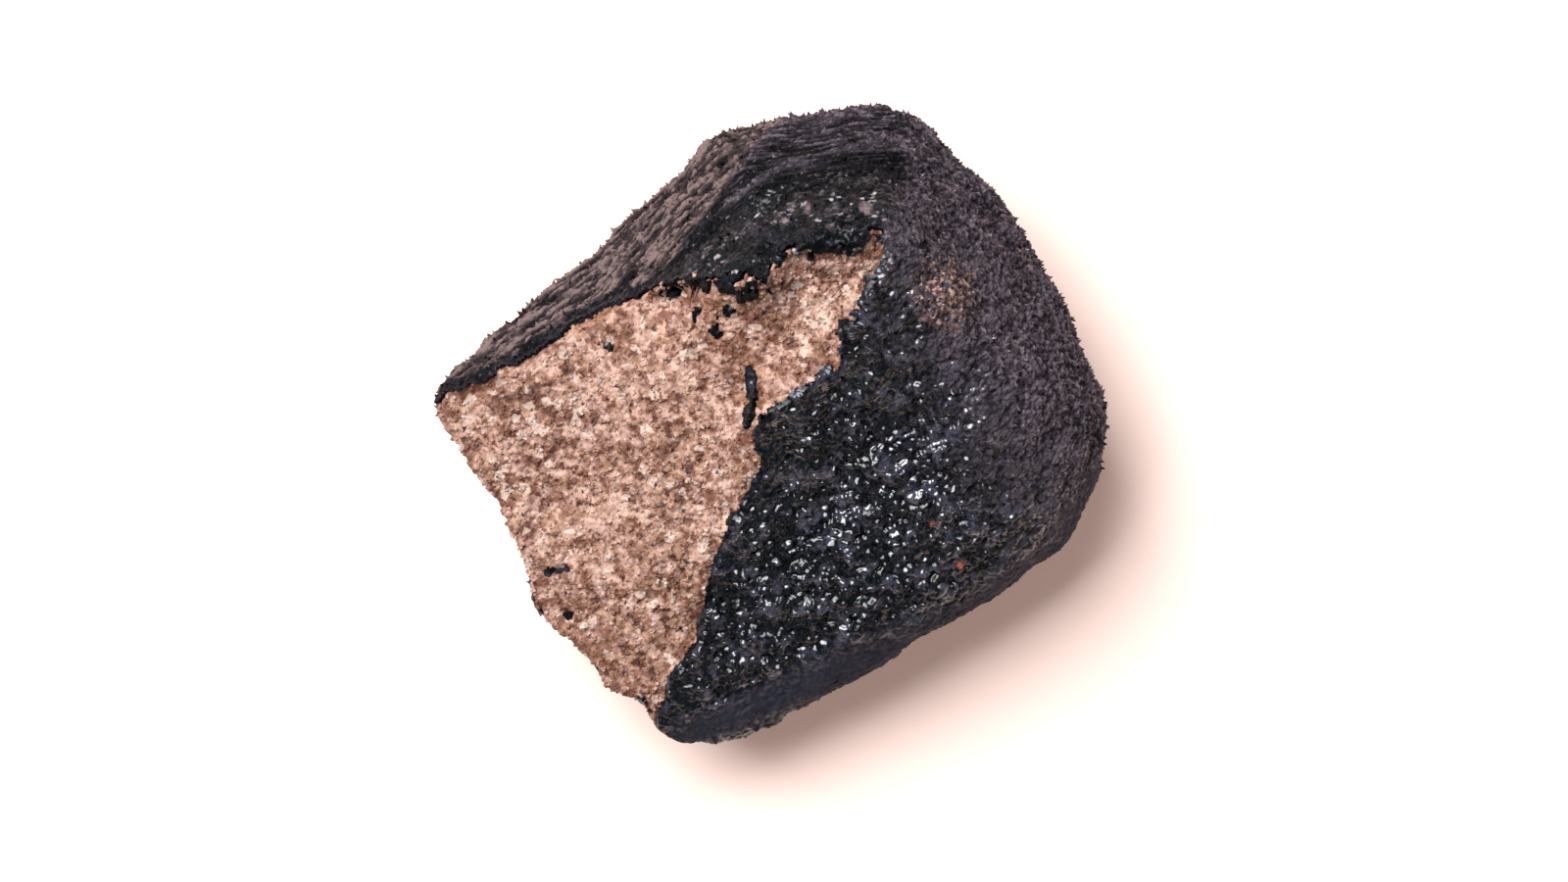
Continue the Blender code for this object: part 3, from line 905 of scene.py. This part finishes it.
        # The dusted flank, its brown partly a painted sheen, and the crown with its black band and its
        # sheltered inner side.
        side = rise(TO_FLANK.past(x, y), *self.side_span)
        past_dust = TO_CROWN.past(x, y)
        flank = rise(past_dust, *self.dust_span) * side
        flank = np.where(up < 0.3, flank * rise(up, -0.9, 0.2), flank * rise(outside, *self.bare_edge))
        topside = rise(patch.evened(up, self.top_rounds), *self.top_span)
        crest = rise(x, *self.crest_span) * side * topside
        crown = rise(past_dust, -0.8, 0.8) * rise(flow, *self.crown_span) * crest
        deep = rise(flow, *self.deep_start) * rise(flow, *self.deep_end)
        deep = deep * rise(past_dust, -1.2, 0.2) * crest
        inner = side * topside * rise(flow, *self.inner_span) * rise(x, 9.0, 6.0)

        # The glassy front, and the black lines along the broken edge.
        front = rise(TO_FRONT.past(x, y), *self.front_span)
        front = front * (1 - side) + self.inner_front * inner
        black_rim = bell(outside, 0.35, 0.45) * rise(x, -3.0, -6.0) * side
        strip = 0.55 * bell(outside, 0.9, 0.7) * rise(y, 5.0, 3.0) * (1 - side)

        # The rolled side, narrower toward the bottom tip.
        rolled_far, _ = nearest_on(plan, ROLLED_LINE)
        rolled_far = rolled_far * (1 + 0.6 * rise(x, 4.0, -3.0))
        rolled = rise(rolled_far, *self.rolled_span) * rise(up, -0.6, -0.1)

        patch[Trait.FLANK] = flank
        patch[Trait.CROWN] = crown
        patch[Trait.ROLLED] = rolled
        patch[Trait.INNER] = inner
        patch[Trait.DEEP] = np.maximum(np.maximum(deep, 0.9 * black_rim), strip)
        patch[Trait.FRONT] = front * (1 - 0.7 * crown) * (1 - rolled * 0.8) * (1 - flank)
        worn_x, worn_y, spread = self.worn_spot
        patch[Trait.WORN] = np.exp(-((x - worn_x) ** 2 + (y - worn_y) ** 2) / spread) * (up > 0)

    def raggedness(self, place: np.ndarray, ring: np.ndarray) -> np.ndarray:
        """How far the crust's edge strays from its line, in mm."""
        stray = np.zeros(len(place))
        wild_x, wild_y, spread = self.wild_spot
        for index in np.flatnonzero(np.abs(ring) < self.ragged_reach):
            at = Vector(place[index])
            x, y = at.x, at.y
            wild = math.exp(-((x - wild_x) ** 2 + (y - wild_y) ** 2) / spread)
            stray[index] = (
                noise.noise(at / 1.2) * self.ragged_broad * (1 + 3.2 * wild)
                + noise.noise(at / 0.4) * self.ragged_fine * (1 + 5.0 * wild))
        return stray

    @staticmethod
    def fleck(place: np.ndarray, x: float, y: float, length: float, width: float, turn: float) -> np.ndarray:
        """How far places are outside a small island of crust, in mm."""
        turn = math.radians(turn)
        dx, dy = place[:, 0] - x, place[:, 1] - y
        along = dx * math.cos(turn) + dy * math.sin(turn)
        across = dy * math.cos(turn) - dx * math.sin(turn)
        away = (np.hypot(along / length, across / width) - 1.0) * width
        for index in np.flatnonzero(away < 1.0):
            away[index] += 0.22 * noise.noise(Vector(place[index]) / 0.4)
        return away


def add_piece(name: str, mesh: Mesh, finish: Material) -> Object:
    """Make one finished piece of the stone."""
    mesh.name = name
    mesh.materials.clear()
    mesh.materials.append(finish)
    return new_object(name, mesh)


@dataclass
class Crust:
    """The black fusion crust, in four pieces that meet edge to edge."""

    seam_height: float = 5.2
    flank_end: float = 7.2
    flank_side: float = 3.0
    thickness: float = 0.55
    front_bead: float = 0.26
    shoulder_bead: float = 0.2
    flow_ridge: float = 0.15
    lip_rise: float = 0.12
    spines_each_square: float = 3.0
    spine_length: float = 0.4
    spine_foot: float = 0.17
    spine_tip: float = 0.02
    spine_sunk: float = 0.08
    finish: FusionCrust = FusionCrust()

    def build(self, skin: Patch) -> list[Object]:
        """Cut the crust out of the skin and raise its relief."""
        pieces = []
        material = self.finish.make()
        relief = self.relief()
        spines = self.spines()
        edge = skin[Trait.EDGE][skin.quads].mean(axis=1)
        x, y, z = skin.points[skin.quads].mean(axis=1).T / MM
        crust = edge < 0.0
        upper = z >= self.seam_height
        flank = (x < self.flank_end) & (TO_FLANK.past(x, y) > self.flank_side)
        front = TO_FRONT.past(x, y) > 0.0
        for name, chosen, core, detail in (
            ("crust_flank", crust & upper & flank, (0.0, 4.0, 7.0), 1),
            ("crust_front", crust & upper & ~flank & front, (2.0, -2.0, 7.0), 1),
            ("crust_shoulder", crust & upper & ~flank & ~front, (4.0, 0.0, 7.0), 1),
            ("crust_underside", crust & ~upper, (2.0, 0.0, 8.0), 0),
        ):
            source = skin.part(chosen).open_mesh(name)
            raised = Patch.of_mesh(relief.run(source, material, Detail=detail))
            raised.points[:, 2] = np.maximum(raised.points[:, 2], 0.0)
            pieces.append(add_piece(name, raised.closed_mesh(name, self.thickness, core), material))
            if detail:
                grown = spines.run(raised.open_mesh(name), material)
                pieces.append(add_piece(name + "_spines", grown, material))
        return pieces

    def relief(self) -> Recipe:
        """The tree that raises beads, flow lines and the crust's lip."""
        recipe = Recipe("crust_relief", {
            "Detail": 1, "Front Bead": self.front_bead, "Shoulder Bead": self.shoulder_bead,
            "Flow Ridge": self.flow_ridge, "Lip Rise": self.lip_rise})
        g = recipe.graph
        fine = recipe.refined()
        at = g.shifted(recipe.place, 1.1, 0.3)
        front, crown, flank = recipe[Trait.FRONT], recipe[Trait.CROWN], recipe[Trait.FLANK]
        rolled = recipe[Trait.ROLLED]
        at = g.shifted(at, 0.4, 0.1)
        big = g.bead(at, 1.6, 1.5) * 1.3 + g.bead(at, 0.56, 1.6) * 0.9 + g.bead(at, 0.32, 1.5) * 0.5
        small = g.bead(at, 0.5, 1.6) * 0.8 + g.bead(at, 0.3, 1.5) * 0.7
        flow, run = recipe[Trait.FLOW], recipe[Trait.RUN]
        thin = flow_lines(g, flow, run)
        streaks = dust_streaks(g, recipe[Trait.FALL], run)
        ridge = (streaks - 0.5) * (1.0 - crown) * 6.0 + (thin - 0.5) * crown * 5.0
        ridge = ridge.at_most(1.0).at_least(-1.0)
        plain = (1.0 - front) * (1.0 - crown) * (1.0 - rolled * 0.6) * (1.0 - flank * 0.5)
        height = (
            big * front * (1.0 - recipe[Trait.DEEP] * 0.5) * recipe.input("Front Bead")
            + small * plain * recipe.input("Shoulder Bead")
            + ridge * (crown * 0.8 + flank * 1.4) * recipe.input("Flow Ridge")
            + small * (crown + flank * 0.4) * 0.08 + (g.noise(at, 1.6) - 0.5) * 0.25 - 0.1)
        edge = recipe[Trait.EDGE]
        height = height * edge.rise(0.0, -0.5)
        lip = edge.rise(-1.0, -0.05) * recipe[Trait.LIP] * recipe.input("Lip Rise")
        whole = recipe.lift(fine, height + lip)
        recipe.finish(recipe.keep(whole, Trait.LIFT, height))
        return recipe

    def spines(self) -> Recipe:
        """The tree that grows fine melted spines on the crust."""
        recipe = Recipe("crust_spines", {"Each Square": self.spines_each_square})
        g = recipe.graph
        across, down = g.axis(recipe.place, "X"), g.axis(recipe.place, "Y")
        rough = 1.0 - recipe[Trait.ROLLED] * 0.9
        rough = rough * (down - across * 0.45).rise(-14.0, -8.0)
        rough = rough * (1.0 - recipe[Trait.CROWN] * 0.8) * (1.0 - recipe[Trait.FRONT] * 0.5)
        steep = g.axis(g.node("GeometryNodeInputNormal"), "Z").rise(0.75, 0.35)
        rough = rough * (0.15 + 0.85 * steep) * recipe[Trait.EDGE].rise(-0.2, -0.5)
        cone = g.node("GeometryNodeMeshCone", {
            "Vertices": 5, "Radius Top": self.spine_tip * MM, "Radius Bottom": self.spine_foot * MM,
            "Depth": self.spine_length * MM})
        seated = g.node(
            "GeometryNodeTransform", {"Geometry": cone, "Translation": (0, 0, -self.spine_sunk * MM)})
        tilt = recipe.random((-0.45, -0.45, 0.0), (0.45, 0.45, 6.28), 9)
        recipe.finish(recipe.sow(seated, rough, 4, tilt, recipe.random(0.4, 0.95, 3), upright=True))
        return recipe


@dataclass
class BrokenFace:
    """The freshly broken stone inside the crust."""

    thickness: float = 0.3
    core: tuple = (-7.0, -3.0, 6.5)
    tuck_reach: float = 0.5
    tuck_depth: float = 0.35
    lip_tuck: float = 0.15
    grain: float = 0.11
    grains_each_square: float = 7.5
    crystal: tuple = (0.2, 0.15, 0.17)
    finish: BrokenStone = BrokenStone()

    def build(self, skin: Patch) -> list[Object]:
        """Cut the face out of the skin and roughen it."""
        material = self.finish.make()
        edge = skin[Trait.EDGE][skin.quads].mean(axis=1)
        source = skin.part(edge > -self.tuck_reach).open_mesh("face_source")
        rough = Patch.of_mesh(self.relief().run(source, material))
        mesh = rough.closed_mesh("broken_face", self.thickness, self.core)
        grains = self.grains().run(rough.open_mesh("grains_source"), material)
        return [add_piece("broken_face", mesh, material), add_piece("face_grains", grains, material)]

    def relief(self) -> Recipe:
        """The tree that gives the broken face its grains and tucks it under the crust."""
        recipe = Recipe("grain_relief", {"Detail": 1, "Grain": self.grain, "Tuck": self.tuck_depth})
        g = recipe.graph
        fine = recipe.refined()
        at = g.shifted(recipe.place, 0.6, 0.15)
        pick = g.channel(g.cells(at, 0.45, "Color"), "Red")
        pick_small = g.channel(g.cells(at, 0.24, "Color"), "Green")
        height = (pick - 0.5) * 1.6 + (pick_small - 0.5) * 0.7 + (g.noise(at, 0.9, 3.0) - 0.5) * 2.0
        height = height * recipe.input("Grain")
        edge = recipe[Trait.EDGE]
        tuck = edge.rise(0.25, -0.3) * recipe.input("Tuck")
        tuck = tuck + edge.rise(1.0, 0.0) * recipe[Trait.LIP] * self.lip_tuck
        recipe.finish(recipe.lift(fine, height - tuck))
        return recipe

    def grains(self) -> Recipe:
        """The tree that sets loose crystal grains on the broken face."""
        recipe = Recipe("face_grains", {"Each Square": self.grains_each_square})
        g = recipe.graph
        shown = recipe[Trait.EDGE].rise(-0.05, 0.1)
        crystal = g.node("GeometryNodeMeshCube", {"Size": tuple(side * MM for side in self.crystal)})
        turn = recipe.random((0.0, 0.0, 0.0), (6.28, 6.28, 6.28), 2)
        recipe.finish(recipe.sow(crystal, shown, 7, turn, recipe.random(0.5, 1.4, 5), upright=False))
        return recipe


@dataclass
class Studio:
    """The floor, lights and camera."""

    camera_at: tuple = (0.91, -0.97, 406.0)
    lens: float = 150.0
    floor_side: float = 3000.0
    key_from: tuple = (-0.4, 0.424, 0.816)
    key_far: float = 420.0
    key_side: float = 335.0
    key_power: float = 4.2
    sky_strength: float = 0.32
    sky_low: tuple = (1.0, 0.97, 0.95, 1.0)
    sky_high: tuple = (0.22, 0.26, 0.34, 1.0)
    finish: StudioFloor = StudioFloor()

    def build(self) -> None:
        """Set up the studio."""
        half = self.floor_side / 2 * MM
        mesh = bpy.data.meshes.new("studio_floor")
        corners = [(-half, -half, 0), (half, -half, 0), (half, half, 0), (-half, half, 0)]
        mesh.from_pydata(corners, [], [(0, 1, 2, 3)])
        mesh.materials.append(self.finish.make())
        floor = new_object("studio_floor", mesh)
        self.key()
        self.sky()
        self.camera()
        bpy.context.scene.view_settings.view_transform = "Standard"

    def key(self) -> None:
        """Hang one square soft light, aimed at the stone."""
        lamp = bpy.data.lights.new("key", "AREA")
        lamp.shape = "SQUARE"
        lamp.size = self.key_side * MM
        lamp.energy = self.key_power
        holder = new_object("key", lamp)
        toward = Vector(self.key_from).normalized()
        holder.location = toward * self.key_far * MM
        holder.rotation_euler = toward.to_track_quat("Z", "Y").to_euler()

    def sky(self) -> None:
        """A pale room, darker overhead."""
        world = bpy.data.worlds.new("room")
        world.use_nodes = True
        world.node_tree.nodes.clear()
        bpy.context.scene.world = world
        g = Graph(world.node_tree)
        toward = g.node("ShaderNodeTexCoord", output="Generated")
        height = g.axis(toward, "Z")
        colour = g.mix(height.rise(0.25, 0.8), self.sky_low, self.sky_high)
        shine = g.node("ShaderNodeBackground", {"Color": colour, "Strength": self.sky_strength})
        g.end("ShaderNodeOutputWorld", "Surface", shine)

    def camera(self) -> None:
        """Hang the camera straight above the stone."""
        lens = bpy.data.cameras.new("camera")
        lens.lens = self.lens
        lens.sensor_width = 36.0
        lens.clip_start, lens.clip_end = 0.01, 20.0
        holder = new_object("camera", lens)
        holder.location = Vector(self.camera_at) * MM
        bpy.context.scene.camera = holder


def main() -> None:
    """Build the stone and its studio, and report each piece."""
    logging.basicConfig(level=logging.INFO, format="%(message)s")
    skin = StoneSkin().build()
    for slot, pieces in ((Slot.CRUST, Crust().build(skin)), (Slot.BREAK, BrokenFace().build(skin))):
        for piece in pieces:
            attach(piece, BODY)
            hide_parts(STONE)
            triangles = sum(len(p.vertices) - 2 for p in piece.data.polygons)
            log.info("%s: %d triangles", piece.name, triangles)
    Studio().build()


if __name__ == "__main__":
    main()
